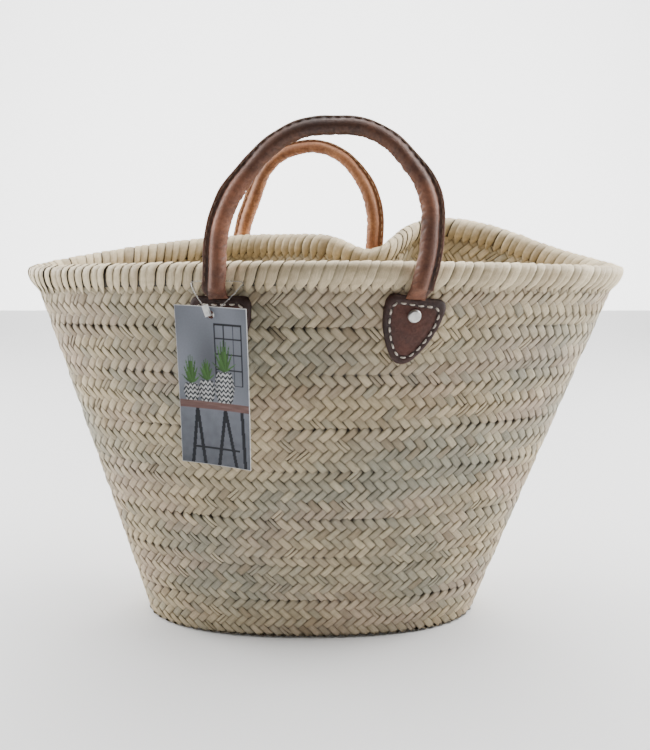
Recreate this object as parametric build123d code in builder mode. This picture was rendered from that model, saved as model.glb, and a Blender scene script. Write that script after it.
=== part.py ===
from build123d import *
import math
import os

os.makedirs("parts", exist_ok=True)

# A market basket: oval floor, flaring wall sewn from a leaf braid in rounds,
# wrapped rim, two rolled leather handles and a hang tag. Millimetres.
# +Z is up, the front faces -Y, the origin is the centre of the underside.

# ---------------------------------------------------------------- dimensions
FLOOR_HALF_LENGTH = 150
FLOOR_HALF_DEPTH = 60
FLOOR_SQUARENESS = 2.4
FLOOR_THICKNESS = 5
FLOOR_EDGE_ROUNDING = 4
FLOOR_CENTRE_HALF_LENGTH = 114
FLOOR_CENTRE_HALF_DEPTH = 24

RIM_HALF_LENGTH = 244
RIM_HALF_DEPTH_FRONT = 106
RIM_HALF_DEPTH_BACK = 110
RIM_POINTEDNESS_FRONT = 0.35
RIM_POINTEDNESS_BACK = 0.12
RIM_END_HEIGHT = 312
RIM_RISE_FRONT = 14
RIM_RISE_BACK = 20
SIDE_LEAN = 14

# The back rim folds forward at one place and stands up beside it.
FOLD_X = 42
FOLD_DEPTH = 44
FOLD_WIDTH_LEFT = 85
FOLD_WIDTH_RIGHT = 34
FOLD_SHARPNESS = 2.6
FOLD_DROP = 17
FOLD_DROP_WIDTH = 26
LOBE_X = 125
LOBE_RISE = 19
LOBE_WIDTH = 75

WALL = 5
COURSES = 8
SEAM_CORD = 1
SEAM_DEPTH = 1.5
SEAM_CLEARANCE = 0.06
OUTLINE_POINTS = 72
ARCS = 12

RIM_BAND_HEIGHT = 18
RIM_CORE_HEIGHT = 8
RIM_BULGE = 4.2
RIM_CLEARANCE = 0.1

LEG_RADIUS = 6
CORE_RADIUS = 4
LEG_END = 4
LEG_END_STEP = 1
FLANGE_WIDTH = 4.5
FLANGE_THICKNESS = 2.4
SEAM_STITCHES = 40
SEAM_STITCH = (4.5, 0.9, 0.6)

PATCH_THICKNESS = 4.5
TAB_THICKNESS = 2.2
TAB_HALF_WIDTH = 9
TAB_BOTTOM = -16
PATCH_TOP = 13
PATCH_TOP_HALF_WIDTH = 19
PATCH_HALF_WIDTH = 22.5
PATCH_BOTTOM = -38
PATCH_STITCHES = 19
PATCH_STITCH_INSET = 5.5
PATCH_STITCH = (5, 1.3)
PATCH_STITCH_HEIGHT = 0.9
PATCH_STITCH_SUNK = 0.4
PATCH_LEVELS = (0.72, 0.965)
SEAT = 0.3
PUNCH_DEPTH = 16
RIVET_HEAD_RADIUS = 5
RIVET_HEAD_HEIGHT = 2
RIVET_SHANK_RADIUS = 1.5
WASHER_RADIUS = 4.5
WASHER_THICKNESS = 1

# Each foot: name, x, side of the basket, rivet height, tilt of its patch.
FRONT = -1
BACK = 1
FEET = [
    ("front_left", -61, FRONT, 291, 0),
    ("front_right", 76, FRONT, 291, -8),
    ("rear_left", -72, BACK, 293, 0),
    ("rear_right", 55, BACK, 287, 0),
]
PIVOT_HEIGHT = 306
FRONT_PIVOT_Y = -112
FRONT_FEET_X = (-61.5, 76.5)
REAR_FEET_X = (-72, 55)
REAR_PIVOT_GAP = 15.5
# Arch of each handle: across from the middle of the feet, height over the pivot.
# The corners are rounded by the radii of the same row.
FRONT_ARCH = [(-65, 57), (-20, 111), (42, 111), (76, 70), (76, 32)]
FRONT_ARCH_RADII = [80, 57, 50, 48, 100]
REAR_ARCH = [(-56.5, 40.4), (-30.5, 102.4), (30.5, 111.8), (69.9, 62.9)]
REAR_ARCH_RADII = [125, 49, 51.5, 78]

CARD = (55, 115, 0.6)
CARD_YAW = 20
CARD_HOLE_RADIUS = 2.9
CARD_HOLE_DROP = 5.5
CARD_TOP = (-64.5, -122.5, 301)
FILAMENT_RADIUS = 0.4
LOOP_CORNERS = [(0.35, -2), (22, 27), (-17, 27)]
LOOP_TIP_RADIUS = 1.0
LOOP_CORNER_RADIUS = 5
LOOP_SLOPE = 48
LOCK = (4, 8, 2)
LOCK_TILT = 20


# ------------------------------------------------------------ wall geometry
def signed_power(value, exponent):
    return math.copysign(abs(value) ** exponent, value)


def back_share(angle):
    return min(1.0, max(0.0, 1.5 * math.sin(angle)))


def bell(distance, width, power=2.0):
    return math.exp(-((abs(distance) / width) ** power))


def fold(x):
    width = FOLD_WIDTH_LEFT if x < FOLD_X else FOLD_WIDTH_RIGHT
    return FOLD_DEPTH * bell(x - FOLD_X, width, FOLD_SHARPNESS)


def floor_plan(angle):
    power = 2 / FLOOR_SQUARENESS
    x = FLOOR_HALF_LENGTH * signed_power(math.cos(angle), power)
    y = FLOOR_HALF_DEPTH * signed_power(math.sin(angle), power)
    return x, y


def rim_plan(angle):
    c = math.cos(angle)
    s = math.sin(angle)
    x = RIM_HALF_LENGTH * c
    if s > 0:
        y = RIM_HALF_DEPTH_BACK * s * (1 - RIM_POINTEDNESS_BACK * c * c)
        y = y - fold(x) * back_share(angle)
    else:
        y = RIM_HALF_DEPTH_FRONT * s * (1 - RIM_POINTEDNESS_FRONT * c * c)
    return x, y


def rim_height(angle):
    x = RIM_HALF_LENGTH * math.cos(angle)
    s2 = math.sin(angle) ** 2
    if math.sin(angle) <= 0:
        return RIM_END_HEIGHT + RIM_RISE_FRONT * s2
    lobe = LOBE_RISE * bell(x - LOBE_X, LOBE_WIDTH)
    drop = FOLD_DROP * bell(x - FOLD_X, FOLD_DROP_WIDTH)
    return RIM_END_HEIGHT + RIM_RISE_BACK * s2 + (lobe - drop) * back_share(angle)


def wall_plan(angle, level):
    floor_x, floor_y = floor_plan(angle)
    rim_x, rim_y = rim_plan(angle)
    x = floor_x + (rim_x - floor_x + SIDE_LEAN) * level
    y = floor_y + (rim_y - floor_y) * level
    return x, y


def wall_point(angle, level, drop=0.0, out=0.0):
    # level 0 is the floor, 1 the rim; drop is measured down from that level.
    level = level - drop / rim_height(angle)
    step = 0.01
    x, y = wall_plan(angle, level)
    x1, y1 = wall_plan(angle - step, level)
    x2, y2 = wall_plan(angle + step, level)
    length = math.hypot(x2 - x1, y2 - y1)
    normal_x = (y2 - y1) / length
    normal_y = (x1 - x2) / length
    return (x + out * normal_x, y + out * normal_y, level * rim_height(angle))


def outline_points(level, drop=0.0, out=0.0):
    turn = 2 * math.pi / OUTLINE_POINTS
    angles = [(i + 0.5) * turn for i in range(OUTLINE_POINTS)]
    return [Vector(*wall_point(angle, level, drop, out)) for angle in angles]


def arcs(corner):
    # One (level, drop, out) line round the basket, as splines end to end.
    points = outline_points(*corner)
    count = len(points)
    span = count // ARCS
    parameters = [i / span for i in range(span + 1)]
    edges = []
    for first in range(0, count, span):
        run = [points[(first + i) % count] for i in range(span + 1)]
        last = (first + span) % count
        start = (run[1] - points[first - 1]) * (span / 2)
        end = (points[(last + 1) % count] - run[-2]) * (span / 2)
        tangents = (start, end)
        edges.append(Edge.make_spline(run, tangents, parameters=parameters, scale=False))
    return edges


def ring(corners):
    # A closed ring whose section is the polygon of (level, drop, out) corners.
    # Its edges rise and fall with the rim, so it is made from ruled faces.
    lines = [arcs(corner) for corner in corners]
    faces = []
    for line, following in zip(lines, lines[1:] + lines[:1]):
        faces += [Face.make_surface_from_curves(a, b) for a, b in zip(line, following)]
    return Solid(Shell(faces))


def wall_ring(low, high, outer, inner):
    # low and high are (level, drop) pairs.
    return ring([(*low, outer), (*high, outer), (*high, inner), (*low, inner)])


def wall_frame(x, side, height):
    # Plane on the outer face of the wall at this x and height, Z pointing out.
    low = math.pi if side == FRONT else 0.0
    high = low + math.pi
    for _ in range(40):
        middle = (low + high) / 2
        level = height / rim_height(middle)
        if (wall_plan(middle, level)[0] - x) * side > 0:
            low = middle
        else:
            high = middle
    level = height / rim_height(middle)
    point = Vector(*wall_point(middle, level))
    up = Vector(*wall_point(middle, level, drop=-1)) - point
    outward = Vector(*wall_point(middle, level, out=1)) - point
    across = up.cross(outward)
    return Plane(origin=point, x_dir=across, z_dir=across.cross(up))


def save(builder, name):
    builder.part.label = name
    export_step(builder.part, f"parts/{name}.step")


# ------------------------------------------------------------------ the floor
with BuildPart() as floor_centre_braid:
    with BuildSketch():
        Ellipse(FLOOR_CENTRE_HALF_LENGTH, FLOOR_CENTRE_HALF_DEPTH)
    extrude(amount=FLOOR_THICKNESS)
save(floor_centre_braid, "floor_centre_braid")

with BuildPart() as floor_seam_cord:
    with BuildSketch(Plane.XY.offset(SEAM_DEPTH)):
        Ellipse(FLOOR_CENTRE_HALF_LENGTH + SEAM_CORD, FLOOR_CENTRE_HALF_DEPTH + SEAM_CORD)
        Ellipse(FLOOR_CENTRE_HALF_LENGTH, FLOOR_CENTRE_HALF_DEPTH, mode=Mode.SUBTRACT)
    extrude(amount=FLOOR_THICKNESS - 2 * SEAM_DEPTH)
save(floor_seam_cord, "floor_seam_cord")

with BuildPart() as floor_outer_braid:
    with BuildSketch():
        with BuildLine():
            Spline([(p.X, p.Y) for p in outline_points(0, 0, -FLOOR_EDGE_ROUNDING)], periodic=True)
        make_face()
    with BuildSketch(Plane.XY.offset(FLOOR_THICKNESS)):
        with BuildLine():
            Spline([(p.X, p.Y) for p in outline_points(0, -FLOOR_THICKNESS)], periodic=True)
        make_face()
    loft(ruled=True)
    with BuildSketch():
        Ellipse(FLOOR_CENTRE_HALF_LENGTH + SEAM_CORD, FLOOR_CENTRE_HALF_DEPTH + SEAM_CORD)
    extrude(amount=FLOOR_THICKNESS, mode=Mode.SUBTRACT)
save(floor_outer_braid, "floor_outer_braid")

# ------------------------------------------------------ seam cords and courses
courses = []
for number in range(COURSES):
    level = number / COURSES
    if number == 0:
        seam_bottom = (0, -FLOOR_THICKNESS)
        seam_top = (0, -FLOOR_THICKNESS - SEAM_CORD)
    else:
        seam_bottom = (level, SEAM_CORD / 2)
        seam_top = (level, -SEAM_CORD / 2)
    if number == COURSES - 1:
        course_top = (1, RIM_CORE_HEIGHT)
    else:
        course_top = ((number + 1) / COURSES, SEAM_CORD / 2)
    cord_bottom = (level, seam_bottom[1] - SEAM_CLEARANCE)
    cord_top = (level, seam_top[1] + SEAM_CLEARANCE)
    with BuildPart() as seam_cord:
        add(wall_ring(cord_bottom, cord_top, -SEAM_DEPTH, SEAM_DEPTH - WALL))
    save(seam_cord, f"seam_cord_{number + 1}")
    courses.append(wall_ring(seam_top, course_top, 0, -WALL))

# -------------------------------------------------------------- feet hardware
low = (PATCH_LEVELS[0], 0)
high = (PATCH_LEVELS[1], 0)
tab_band = wall_ring(low, high, TAB_THICKNESS, -SEAT)
patch_band = wall_ring(low, high, PATCH_THICKNESS, -SEAT)
hardware = []

for foot_name, foot_x, foot_side, rivet_height, patch_tilt in FEET:
    frame = wall_frame(foot_x, foot_side, rivet_height)
    tilted = frame.rotated((0, 0, patch_tilt))

    with BuildPart() as rivet:
        with BuildSketch(frame.offset(PATCH_THICKNESS)):
            Circle(RIVET_HEAD_RADIUS)
        extrude(amount=RIVET_HEAD_HEIGHT)
        crown = rivet.faces().sort_by(Axis(frame.origin, frame.z_dir))[-1]
        fillet(crown.edges(), RIVET_HEAD_HEIGHT * 0.8)
        with BuildSketch(frame.offset(-WALL - WASHER_THICKNESS)):
            Circle(RIVET_SHANK_RADIUS)
        extrude(amount=PATCH_THICKNESS + WALL + WASHER_THICKNESS)
    save(rivet, f"{foot_name}_rivet")

    with BuildPart() as washer:
        with BuildSketch(frame.offset(-WALL - WASHER_THICKNESS)):
            Circle(WASHER_RADIUS)
            Circle(RIVET_SHANK_RADIUS, mode=Mode.SUBTRACT)
        extrude(amount=WASHER_THICKNESS)
    save(washer, f"{foot_name}_rivet_washer")
    hardware += [rivet.part, washer.part]

    with BuildPart() as tab:
        with BuildSketch(tilted.offset(-PUNCH_DEPTH)):
            with BuildLine():
                shoulder = TAB_BOTTOM + TAB_HALF_WIDTH
                Polyline(
                    (-TAB_HALF_WIDTH, shoulder),
                    (-TAB_HALF_WIDTH, PATCH_TOP),
                    (TAB_HALF_WIDTH, PATCH_TOP),
                    (TAB_HALF_WIDTH, shoulder),
                )
                ThreePointArc((TAB_HALF_WIDTH, shoulder), (0, TAB_BOTTOM), (-TAB_HALF_WIDTH, shoulder))
            make_face()
        extrude(amount=2 * PUNCH_DEPTH)
        add(tab_band, mode=Mode.INTERSECT)
        add([rivet.part, courses[-2], courses[-1]], mode=Mode.SUBTRACT)
    save(tab, f"{foot_name}_handle_tab")

    with BuildSketch(tilted.offset(-PUNCH_DEPTH)) as shield:
        with BuildLine():
            Line((-PATCH_TOP_HALF_WIDTH, PATCH_TOP), (PATCH_TOP_HALF_WIDTH, PATCH_TOP))
            right_side = Spline(
                (PATCH_TOP_HALF_WIDTH, PATCH_TOP),
                (PATCH_HALF_WIDTH, PATCH_TOP - 8),
                (PATCH_HALF_WIDTH - 3, PATCH_TOP - 25),
                (PATCH_HALF_WIDTH - 11, PATCH_TOP - 42),
                (0, PATCH_BOTTOM),
                tangents=((0.6, -0.8), (-1, 0)),
            )
            mirror(right_side, about=Plane.YZ)
        make_face()

    stitch_line = shield.sketch.faces()[0].outer_wire().offset_2d(-PATCH_STITCH_INSET)
    with BuildPart() as stitches:
        for number in range(PATCH_STITCHES):
            share = (number + 0.5) / PATCH_STITCHES
            spot = stitch_line.position_at(share) + tilted.z_dir * PUNCH_DEPTH
            seat = wall_frame(spot.X, foot_side, spot.Z).offset(PATCH_THICKNESS - PATCH_STITCH_SUNK)
            along = stitch_line.tangent_at(share)
            with BuildSketch(Plane(origin=seat.origin, x_dir=along, z_dir=seat.z_dir)):
                SlotOverall(*PATCH_STITCH)
            extrude(amount=PATCH_STITCH_HEIGHT)
    save(stitches, f"{foot_name}_patch_stitches")

    with BuildPart() as patch:
        extrude(shield.sketch, amount=2 * PUNCH_DEPTH, dir=tilted.z_dir)
        add(patch_band, mode=Mode.INTERSECT)
        add([tab.part, rivet.part, courses[-2], courses[-1]], mode=Mode.SUBTRACT)
        add(stitches.part, mode=Mode.SUBTRACT)
    save(patch, f"{foot_name}_patch")

for number, course in enumerate(courses):
    with BuildPart() as braid_course:
        add(course)
        if number >= COURSES - 2:
            add(hardware, mode=Mode.SUBTRACT)
    save(braid_course, f"braid_course_{number + 1}")

# -------------------------------------------------------------------- the rim
with BuildPart() as rim_core:
    add(wall_ring((1, RIM_CORE_HEIGHT), (1, 0), 0, -WALL))
save(rim_core, "rim_core_bundle")

profile = [(RIM_BAND_HEIGHT, 0), (RIM_BAND_HEIGHT - 1, 3.2), (12, RIM_BULGE), (3, RIM_BULGE), (-2, 2.5)]
outside = [(1, drop, out) for drop, out in profile]
inside = [(1, drop, -WALL - out) for drop, out in reversed(profile)]
channel = [
    (1, RIM_BAND_HEIGHT, -WALL - RIM_CLEARANCE),
    (1, -RIM_CLEARANCE, -WALL - RIM_CLEARANCE),
    (1, -RIM_CLEARANCE, RIM_CLEARANCE),
    (1, RIM_BAND_HEIGHT, RIM_CLEARANCE),
]
with BuildPart() as rim_wrap:
    add(ring(outside[1:] + [(1, -3.2, 0), (1, -3.2, -WALL)] + inside[:-1] + channel))
save(rim_wrap, "rim_wrap")

# ---------------------------------------------------------------- the handles
rear_feet = []
for foot_x in REAR_FEET_X:
    foot = wall_frame(foot_x, BACK, PIVOT_HEIGHT)
    outward = Vector(foot.z_dir.X, foot.z_dir.Y, 0).normalized()
    rear_feet.append(foot.origin + outward * REAR_PIVOT_GAP)
front_feet = [Vector(x, FRONT_PIVOT_Y, PIVOT_HEIGHT) for x in FRONT_FEET_X]

handles = [
    ("front", front_feet, FRONT_ARCH, FRONT_ARCH_RADII),
    ("rear", rear_feet, REAR_ARCH, REAR_ARCH_RADII),
]

for handle_name, feet, arch, arch_radii in handles:
    span = feet[1] - feet[0]
    reach = span.length / 2
    upright = Plane(origin=(feet[0] + feet[1]) * 0.5, x_dir=span, z_dir=span.cross(Vector(0, 0, 1)))
    with BuildLine(upright) as arch_line:
        FilletPolyline((-reach, 0), *arch, (reach, 0), radius=arch_radii)
    path = arch_line.wire()
    section = Plane(origin=path @ 0, x_dir=-span, z_dir=path % 0)

    with BuildPart() as sleeve:
        with BuildSketch(section):
            Circle(LEG_RADIUS)
            with Locations((LEG_RADIUS + FLANGE_WIDTH / 2 - 0.5, 0)):
                Rectangle(FLANGE_WIDTH + 1, FLANGE_THICKNESS)
        sweep(path=path)
        for end in (section, Plane(origin=path @ 1, z_dir=-(path % 1))):
            with BuildSketch(end):
                Circle(LEG_RADIUS - LEG_END_STEP)
            extrude(amount=-LEG_END)
        with BuildSketch(section):
            Circle(CORE_RADIUS)
        sweep(path=path, mode=Mode.SUBTRACT)
    save(sleeve, f"{handle_name}_handle_leather")

    with BuildPart() as rope_core:
        with BuildSketch(section):
            Circle(CORE_RADIUS)
        sweep(path=path)
    save(rope_core, f"{handle_name}_handle_rope_core")

    with BuildPart() as seam_thread:
        for number in range(SEAM_STITCHES):
            share = (number + 0.5) / SEAM_STITCHES
            along = path % share
            outward = upright.z_dir.cross(along)
            middle = (path @ share) + outward * (LEG_RADIUS + FLANGE_WIDTH * 0.55)
            for face in (-1, 1):
                lift = upright.z_dir * (face * (FLANGE_THICKNESS + SEAM_STITCH[2]) / 2)
                with Locations(Plane(origin=middle + lift, x_dir=along, z_dir=upright.z_dir)):
                    Box(*SEAM_STITCH)
    save(seam_thread, f"{handle_name}_handle_seam_thread")

# -------------------------------------------------------------------- the tag
hole = Vector(*CARD_TOP) - Vector(0, 0, CARD_HOLE_DROP)
yaw = math.radians(CARD_YAW)
card_across = Vector(math.cos(yaw), -math.sin(yaw), 0)
card_plane = Plane(origin=hole, x_dir=card_across, z_dir=card_across.cross(Vector(0, 0, 1)))

with BuildPart() as tag_card:
    with BuildSketch(card_plane.offset(-CARD[2] / 2)):
        with Locations((0, CARD_HOLE_DROP - CARD[1] / 2)):
            Rectangle(CARD[0], CARD[1])
        Circle(CARD_HOLE_RADIUS, mode=Mode.SUBTRACT)
    extrude(amount=CARD[2])
save(tag_card, "tag_card")

slope = math.radians(LOOP_SLOPE)
loop_plane = Plane(origin=hole, x_dir=(1, 0, 0), z_dir=(0, -math.sin(slope), math.cos(slope)))
loop_radii = [LOOP_TIP_RADIUS, LOOP_CORNER_RADIUS, LOOP_CORNER_RADIUS]
with BuildLine(loop_plane) as loop_line:
    FilletPolyline(*LOOP_CORNERS, radius=loop_radii, close=True)
loop_path = loop_line.wire()
with BuildPart() as tag_loop:
    with BuildSketch(Plane(origin=loop_path @ 0, z_dir=loop_path % 0)):
        Circle(FILAMENT_RADIUS)
    sweep(path=loop_path)
save(tag_loop, "tag_loop")

with BuildPart() as tag_lock:
    with Locations(card_plane.offset(CARD[2] / 2 + LOCK[2] / 2 + 0.3)):
        with Locations(Location((-LOCK[0] / 2, LOCK[1] * 0.35, 0), (0, 0, LOCK_TILT))):
            Box(*LOCK)
    add(tag_loop.part, mode=Mode.SUBTRACT)
save(tag_lock, "tag_lock")
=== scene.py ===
import math
import random

import bpy
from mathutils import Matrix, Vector, noise


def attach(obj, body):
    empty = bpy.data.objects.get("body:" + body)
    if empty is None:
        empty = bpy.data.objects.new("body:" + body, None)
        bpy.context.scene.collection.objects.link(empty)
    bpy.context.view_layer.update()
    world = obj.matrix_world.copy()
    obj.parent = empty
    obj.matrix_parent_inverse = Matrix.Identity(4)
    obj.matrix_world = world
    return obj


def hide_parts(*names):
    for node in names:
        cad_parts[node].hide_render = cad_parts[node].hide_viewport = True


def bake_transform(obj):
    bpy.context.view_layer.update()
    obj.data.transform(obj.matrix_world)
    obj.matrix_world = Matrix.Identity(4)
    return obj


# A market basket: herringbone leaf braid, wrapped rim, rolled leather handles
# with sewn patches, and a hang tag. The wall follows the CAD frame's formula;
# lengths in this file are millimetres and become metres in the meshes.
MM = 0.001

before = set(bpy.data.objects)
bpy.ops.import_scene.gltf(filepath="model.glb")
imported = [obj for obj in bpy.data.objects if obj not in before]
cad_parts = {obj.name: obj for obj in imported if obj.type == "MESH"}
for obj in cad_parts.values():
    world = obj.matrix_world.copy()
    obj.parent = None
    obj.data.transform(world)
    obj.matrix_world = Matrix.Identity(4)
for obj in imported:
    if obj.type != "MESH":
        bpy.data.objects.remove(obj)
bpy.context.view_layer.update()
random.seed(20)

# ------------------------------------------------------------- wall dimensions
FLOOR_HALF_LENGTH = 150
FLOOR_HALF_DEPTH = 60
FLOOR_SQUARENESS = 2.4
FLOOR_THICKNESS = 5
FLOOR_CENTRE_INSET = 36
RIM_HALF_LENGTH = 244
RIM_HALF_DEPTH_FRONT = 106
RIM_HALF_DEPTH_BACK = 110
RIM_POINTEDNESS_FRONT = 0.35
RIM_POINTEDNESS_BACK = 0.12
RIM_END_HEIGHT = 312
RIM_RISE_FRONT = 14
RIM_RISE_BACK = 20
SIDE_LEAN = 14
FOLD_X = 42
FOLD_DEPTH = 44
FOLD_WIDTH_LEFT = 85
FOLD_WIDTH_RIGHT = 34
FOLD_SHARPNESS = 2.6
FOLD_DROP = 17
FOLD_DROP_WIDTH = 26
LOBE_X = 125
LOBE_RISE = 19
LOBE_WIDTH = 75
WALL = 5
COURSES = 8

# ---------------------------------------------------------- weave dimensions
STRAND_WIDTH = 6.1
STRAND_PITCH = 8.63
ROWS = 36
FLOAT_CROWN = 1.05
SEAM_DIP = 0.6
BACKING_INSET = 1.3
LOWEST = 0.15
END_WIDTH = 0.72
RIM_STRIP_PITCH = 7.6
RIM_BAND_HEIGHT = 15.5


# ------------------------------------------------------------- wall geometry
def signed_power(value, exponent):
    return math.copysign(abs(value) ** exponent, value)


def back_share(angle):
    return min(1.0, max(0.0, 1.5 * math.sin(angle)))


def bell(distance, width, power=2.0):
    return math.exp(-((abs(distance) / width) ** power))


def fold(x):
    width = FOLD_WIDTH_LEFT if x < FOLD_X else FOLD_WIDTH_RIGHT
    return FOLD_DEPTH * bell(x - FOLD_X, width, FOLD_SHARPNESS)


def floor_plan(angle, inset=0.0):
    power = 2 / FLOOR_SQUARENESS
    x = (FLOOR_HALF_LENGTH - inset) * signed_power(math.cos(angle), power)
    y = (FLOOR_HALF_DEPTH - inset) * signed_power(math.sin(angle), power)
    return x, y


def rim_plan(angle):
    c = math.cos(angle)
    s = math.sin(angle)
    x = RIM_HALF_LENGTH * c
    if s > 0:
        y = RIM_HALF_DEPTH_BACK * s * (1 - RIM_POINTEDNESS_BACK * c * c)
        y = y - fold(x) * back_share(angle)
    else:
        y = RIM_HALF_DEPTH_FRONT * s * (1 - RIM_POINTEDNESS_FRONT * c * c)
    return x, y


def rim_height(angle):
    x = RIM_HALF_LENGTH * math.cos(angle)
    s2 = math.sin(angle) ** 2
    if math.sin(angle) <= 0:
        return RIM_END_HEIGHT + RIM_RISE_FRONT * s2
    lobe = LOBE_RISE * bell(x - LOBE_X, LOBE_WIDTH)
    drop = FOLD_DROP * bell(x - FOLD_X, FOLD_DROP_WIDTH)
    return RIM_END_HEIGHT + RIM_RISE_BACK * s2 + (lobe - drop) * back_share(angle)


def wall_plan(angle, level):
    floor_x, floor_y = floor_plan(angle)
    rim_x, rim_y = rim_plan(angle)
    x = floor_x + (rim_x - floor_x + SIDE_LEAN) * level
    y = floor_y + (rim_y - floor_y) * level
    return x, y


def wall_point(angle, level, drop=0.0, out=0.0):
    height = rim_height(angle)
    level = level - drop / height
    step = 0.01
    x, y = wall_plan(angle, level)
    x1, y1 = wall_plan(angle - step, level)
    x2, y2 = wall_plan(angle + step, level)
    length = math.hypot(x2 - x1, y2 - y1)
    normal_x = (y2 - y1) / length
    normal_y = (x1 - x2) / length
    return Vector((x + out * normal_x, y + out * normal_y, level * height))


def wall_axes(angle, level):
    # Position, direction round the wall, direction up the wall, outward.
    point = wall_point(angle, level)
    around = (wall_point(angle + 0.005, level) - wall_point(angle - 0.005, level)).normalized()
    up = (wall_point(angle, level + 0.01) - point).normalized()
    out = around.cross(up).normalized()
    return point, around, up, out


def floor_axes(angle, inset, top):
    def at(a, i):
        x, y = floor_plan(a, i)
        return Vector((x, y, FLOOR_THICKNESS if top else 0.0))

    point = at(angle, inset)
    around = (at(angle + 0.005, inset) - at(angle - 0.005, inset)).normalized()
    inward = (at(angle, inset + 0.5) - point).normalized()
    return point, around, inward, Vector((0, 0, 1 if top else -1))


def even_angles(count, point_at):
    # Angles at equal steps of length round a closed curve.
    samples = 720
    angles = [2 * math.pi * i / samples for i in range(samples + 1)]
    points = [point_at(a) for a in angles]
    run = [0.0]
    for a, b in zip(points, points[1:]):
        run.append(run[-1] + (b - a).length)
    result = []
    j = 0
    for i in range(count):
        target = run[-1] * i / count
        while run[j + 1] < target:
            j += 1
        share = (target - run[j]) / (run[j + 1] - run[j])
        result.append(angles[j] + (angles[j + 1] - angles[j]) * share)
    return result, run[-1]


def wall_angle(x, front, height):
    low = math.pi if front else 0.0
    high = low + math.pi
    side = -1 if front else 1
    for _ in range(30):
        middle = (low + high) / 2
        level = height / rim_height(middle)
        if (wall_plan(middle, level)[0] - x) * side > 0:
            low = middle
        else:
            high = middle
    return middle


# ---------------------------------------------------------------- mesh making
class Builder:
    """Collects quads with a tint and a strand coordinate for every point."""

    def __init__(self):
        self.points = []
        self.faces = []
        self.tints = []
        self.coords = []

    def grid(self, rows, tints, coords, closed=False):
        start = len(self.points)
        width = len(rows[0])
        for row, tint_row, coord_row in zip(rows, tints, coords):
            self.points += [p * MM for p in row]
            self.tints += tint_row
            self.coords += coord_row
        count = len(rows)
        for i in range(count - 1):
            for j in range(width if closed else width - 1):
                k = (j + 1) % width
                a = start + i * width
                b = a + width
                self.faces.append((a + j, a + k, b + k, b + j))
        return start

    def band(self, rows, tint):
        # A closed band in one tint, with no strand coordinate.
        width = len(rows[0])
        tints = [[tint] * width] * len(rows)
        coords = [[(0.0, 0.0)] * width] * len(rows)
        return self.grid(rows, tints, coords, closed=True)

    def make(self, name, material, smooth=True):
        mesh = bpy.data.meshes.new(name)
        mesh.from_pydata(self.points, [], self.faces)
        tint = mesh.attributes.new("tint", "FLOAT_COLOR", "POINT")
        tint.data.foreach_set("color", [c for t in self.tints for c in (*t, 1.0)])
        uv = mesh.uv_layers.new(name="strand")
        flat = []
        for face in self.faces:
            for corner in face:
                flat += self.coords[corner]
        uv.data.foreach_set("uv", flat)
        mesh.polygons.foreach_set("use_smooth", [smooth] * len(mesh.polygons))
        mesh.materials.append(material)
        piece = bpy.data.objects.new(name, mesh)
        bpy.context.scene.collection.objects.link(piece)
        return piece


# ------------------------------------------------------------------ materials
def new_material(name):
    material = bpy.data.materials.new(name)
    material.use_nodes = True
    nodes = material.node_tree.nodes
    shader = nodes["Principled BSDF"]
    return material, nodes, material.node_tree.links, shader


def add(nodes, kind, **values):
    node = nodes.new(kind)
    for key, value in values.items():
        if key in node.inputs:
            node.inputs[key].default_value = value
        else:
            setattr(node, key, value)
    return node


def multiply(nodes, links, a, b, factor=1.0):
    mix = nodes.new("ShaderNodeMix")
    mix.data_type = "RGBA"
    mix.blend_type = "MULTIPLY"
    mix.inputs["Factor"].default_value = factor
    links.new(a, mix.inputs["A"])
    links.new(b, mix.inputs["B"])
    return mix.outputs["Result"]


def ramp(nodes, links, source, stops):
    node = nodes.new("ShaderNodeValToRGB")
    elements = node.color_ramp.elements
    for i, (position, value) in enumerate(stops):
        element = elements[i] if i < 2 else elements.new(position)
        element.position = position
        colour = value if isinstance(value, tuple) else (value, value, value)
        element.color = (*colour, 1)
    links.new(source, node.inputs["Fac"])
    return node.outputs["Color"]


def grain_field(nodes, links, vector, **values):
    field = add(nodes, "ShaderNodeTexNoise", **values)
    links.new(vector, field.inputs["Vector"])
    return field.outputs["Fac"]


def bump(nodes, links, shader, height, strength, distance):
    node = add(nodes, "ShaderNodeBump", Strength=strength, Distance=distance)
    links.new(height, node.inputs["Height"])
    links.new(node.outputs["Normal"], shader.inputs["Normal"])
    return node


def leaf_material(name, roughness):
    material, nodes, links, shader = new_material(name)
    tint = add(nodes, "ShaderNodeAttribute", attribute_name="tint")
    uv = add(nodes, "ShaderNodeUVMap", uv_map="strand")
    stretch = add(nodes, "ShaderNodeMapping", Scale=(0.09, 2.6, 1.0))
    links.new(uv.outputs["UV"], stretch.inputs["Vector"])
    along = stretch.outputs["Vector"]
    fibre = grain_field(nodes, links, along, Scale=1.0, Detail=4.0, Roughness=0.65)
    blotch = grain_field(nodes, links, uv.outputs["UV"], Scale=0.16, Detail=3.0)
    streak_stops = [(0.3, 0.72), (0.52, 0.98), (0.75, 1.12)]
    stain_stops = [(0.35, (0.84, 0.83, 0.80)), (0.6, (1, 1, 1))]
    streaks = ramp(nodes, links, fibre, streak_stops)
    stain = ramp(nodes, links, blotch, stain_stops)
    colour = multiply(nodes, links, tint.outputs["Color"], streaks)
    colour = multiply(nodes, links, colour, stain)
    links.new(colour, shader.inputs["Base Color"])
    shine_stops = [(0.3, roughness + 0.12), (0.7, roughness - 0.06)]
    shine = ramp(nodes, links, fibre, shine_stops)
    links.new(shine, shader.inputs["Roughness"])
    bump(nodes, links, shader, fibre, 0.5, 0.0004)
    return material


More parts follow.
